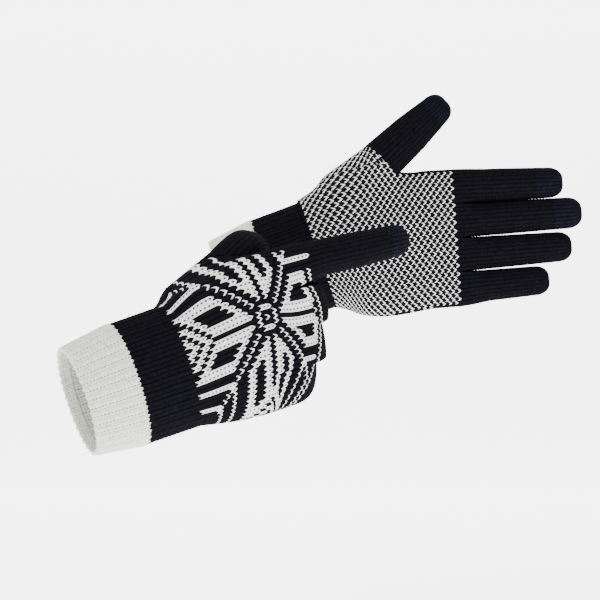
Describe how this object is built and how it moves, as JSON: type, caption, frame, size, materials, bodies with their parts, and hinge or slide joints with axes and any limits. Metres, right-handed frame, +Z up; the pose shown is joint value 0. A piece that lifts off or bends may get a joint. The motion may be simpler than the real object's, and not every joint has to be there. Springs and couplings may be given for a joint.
{
  "type": "pair of knitted gloves",
  "caption": "Pair of knitted winter gloves with ribbed cuffs, a star pattern on the back, a check palm and touch fingertips, posed as worn.",
  "frame": {"origin": "centre of the left glove's wrist opening", "axes": "+X toward the fingertips, +Z up toward the thumbs, +Y from the front glove to the rear glove; the left palm faces -Y"},
  "size_m": [0.3202, 0.2407, 0.2194],
  "materials": {
    "cream_yarn": "knitted off-white yarn",
    "elastic_yarn": "covered elastic yarn",
    "dark_yarn": "knitted near-black navy yarn",
    "touch_yarn": "knitted conductive yarn, blue-black",
    "check_knit": "off-white and navy check knit",
    "star_knit": "off-white star on navy knit"
  },
  "bodies": {
    "left_hand": {"left_cuff_hem": "cream_yarn", "left_cuff_elastic": "elastic_yarn", "left_cuff_rib": "dark_yarn", "left_palm_panel": "check_knit", "left_back_panel": "star_knit"},
    "left_thumb_root": {"left_thumb_lower": "dark_yarn"},
    "left_thumb_end": {"left_thumb_upper": "dark_yarn", "left_thumb_touch_tip": "touch_yarn"},
    "left_index_root": {"left_index_lower": "dark_yarn"},
    "left_index_end": {"left_index_upper": "dark_yarn", "left_index_touch_tip": "touch_yarn"},
    "left_middle_root": {"left_middle_lower": "dark_yarn"},
    "left_middle_end": {"left_middle_upper": "dark_yarn", "left_middle_touch_tip": "touch_yarn"},
    "left_ring_root": {"left_ring_lower": "dark_yarn"},
    "left_ring_end": {"left_ring_upper": "dark_yarn"},
    "left_little_root": {"left_little_lower": "dark_yarn"},
    "left_little_end": {"left_little_upper": "dark_yarn"},
    "right_hand": {"right_cuff_hem": "cream_yarn", "right_cuff_elastic": "elastic_yarn", "right_cuff_rib": "dark_yarn", "right_palm_panel": "check_knit", "right_back_panel": "star_knit"},
    "right_thumb_root": {"right_thumb_lower": "dark_yarn"},
    "right_thumb_end": {"right_thumb_upper": "dark_yarn", "right_thumb_touch_tip": "touch_yarn"},
    "right_index_root": {"right_index_lower": "dark_yarn"},
    "right_index_end": {"right_index_upper": "dark_yarn", "right_index_touch_tip": "touch_yarn"},
    "right_middle_root": {"right_middle_lower": "dark_yarn"},
    "right_middle_end": {"right_middle_upper": "dark_yarn", "right_middle_touch_tip": "touch_yarn"},
    "right_ring_root": {"right_ring_lower": "dark_yarn"},
    "right_ring_end": {"right_ring_upper": "dark_yarn"},
    "right_little_root": {"right_little_lower": "dark_yarn"},
    "right_little_end": {"right_little_upper": "dark_yarn"}
  },
  "joints": [
    {"name": "left_thumb_base", "type": "hinge", "parent": "left_hand", "child": "left_thumb_root", "pos_m": [0.10563, -0.01691, 0.08015], "axis": [0.6522, 0.2924, -0.6994], "range_deg": [0, 55]},
    {"name": "left_thumb_middle", "type": "hinge", "parent": "left_thumb_root", "child": "left_thumb_end", "pos_m": [0.12366, -0.01567, 0.09748], "axis": [0.6522, 0.2924, -0.6994], "range_deg": [0, 33.34]},
    {"name": "left_index_base", "type": "hinge", "parent": "left_hand", "child": "left_index_root", "pos_m": [0.14097, -0.0108, 0.06524], "axis": [0.0436, 0, -0.999], "range_deg": [0, 84]},
    {"name": "left_index_middle", "type": "hinge", "parent": "left_index_root", "child": "left_index_end", "pos_m": [0.17983, -0.0104, 0.06693], "axis": [0.0436, 0, -0.999], "range_deg": [0, 80.01]},
    {"name": "left_middle_base", "type": "hinge", "parent": "left_hand", "child": "left_middle_root", "pos_m": [0.13443, -0.0108, 0.04243], "axis": [0.0698, 0, -0.9976], "range_deg": [0, 66]},
    {"name": "left_middle_middle", "type": "hinge", "parent": "left_middle_root", "child": "left_middle_end", "pos_m": [0.18181, -0.0106, 0.04575], "axis": [0.0698, 0, -0.9976], "range_deg": [0, 62.87]},
    {"name": "left_ring_base", "type": "hinge", "parent": "left_hand", "child": "left_ring_root", "pos_m": [0.12789, -0.0108, 0.01963], "axis": [0.0785, 0, -0.9969], "range_deg": [0, 62]},
    {"name": "left_ring_middle", "type": "hinge", "parent": "left_ring_root", "child": "left_ring_end", "pos_m": [0.17773, -0.0103, 0.02355], "axis": [0.0785, 0, -0.9969], "range_deg": [0, 59.06]},
    {"name": "left_little_base", "type": "hinge", "parent": "left_hand", "child": "left_little_root", "pos_m": [0.12135, -0.0108, -0.00318], "axis": [0.0958, 0, -0.9954], "range_deg": [0, 84]},
    {"name": "left_little_middle", "type": "hinge", "parent": "left_little_root", "child": "left_little_end", "pos_m": [0.16773, -0.01, 0.00129], "axis": [0.0958, 0, -0.9954], "range_deg": [0, 80.01]},
    {"name": "right_thumb_base", "type": "hinge", "parent": "right_hand", "child": "right_thumb_root", "pos_m": [0.00693, -0.12343, 0.00911], "axis": [-0.7472, 0.0492, 0.6627], "range_deg": [-44, 0]},
    {"name": "right_thumb_middle", "type": "hinge", "parent": "right_thumb_root", "child": "right_thumb_end", "pos_m": [0.01121, -0.09895, 0.01212], "axis": [-0.7472, 0.0492, 0.6627], "range_deg": [-26.68, 0]},
    {"name": "right_index_base", "type": "hinge", "parent": "right_hand", "child": "right_index_root", "pos_m": [0.04489, -0.1307, 0.01406], "axis": [-0.1769, -0.0715, 0.9816], "range_deg": [-12, 42]},
    {"name": "right_index_middle", "type": "hinge", "parent": "right_index_root", "child": "right_index_end", "pos_m": [0.07671, -0.10954, 0.02134], "axis": [-0.1769, -0.0715, 0.9816], "range_deg": [-10.01, 35.01]},
    {"name": "right_middle_base", "type": "hinge", "parent": "right_hand", "child": "right_middle_root", "pos_m": [0.04201, -0.13186, -0.00946], "axis": [-0.2007, -0.0811, 0.9763], "range_deg": [-84, 2]},
    {"name": "right_middle_middle", "type": "hinge", "parent": "right_middle_root", "child": "right_middle_end", "pos_m": [0.029, -0.08619, -0.00834], "axis": [-0.2007, -0.0811, 0.9763], "range_deg": [-80.01, 1.92]},
    {"name": "right_ring_base", "type": "hinge", "parent": "right_hand", "child": "right_ring_root", "pos_m": [0.03914, -0.13302, -0.03298], "axis": [-0.2086, -0.0843, 0.9744], "range_deg": [-84, 2]},
    {"name": "right_ring_middle", "type": "hinge", "parent": "right_ring_root", "child": "right_ring_end", "pos_m": [0.0257, -0.08488, -0.03169], "axis": [-0.2086, -0.0843, 0.9744], "range_deg": [-80.01, 1.92]},
    {"name": "right_little_base", "type": "hinge", "parent": "right_hand", "child": "right_little_root", "pos_m": [0.03627, -0.13418, -0.0565], "axis": [-0.2243, -0.0906, 0.9703], "range_deg": [-84, 2]},
    {"name": "right_little_middle", "type": "hinge", "parent": "right_little_root", "child": "right_little_end", "pos_m": [0.02404, -0.08923, -0.05513], "axis": [-0.2243, -0.0906, 0.9703], "range_deg": [-80.01, 1.92]},
    {"name": "right_glove_lift_off", "type": "slide", "parent": "left_hand", "child": "right_hand", "axis": [0, -1, 0], "range_m": [0, 0.05]}
  ],
  "couplings": [
    {"joint": "left_thumb_middle", "follows": "left_thumb_base", "ratio": 0.60606},
    {"joint": "left_index_middle", "follows": "left_index_base", "ratio": 0.95238},
    {"joint": "left_middle_middle", "follows": "left_middle_base", "ratio": 0.95238},
    {"joint": "left_ring_middle", "follows": "left_ring_base", "ratio": 0.95238},
    {"joint": "left_little_middle", "follows": "left_little_base", "ratio": 0.95238},
    {"joint": "right_thumb_middle", "follows": "right_thumb_base", "ratio": 0.60606},
    {"joint": "right_index_middle", "follows": "right_index_base", "ratio": 0.83333},
    {"joint": "right_middle_middle", "follows": "right_middle_base", "ratio": 0.95238},
    {"joint": "right_ring_middle", "follows": "right_ring_base", "ratio": 0.95238},
    {"joint": "right_little_middle", "follows": "right_little_base", "ratio": 0.95238}
  ]
}
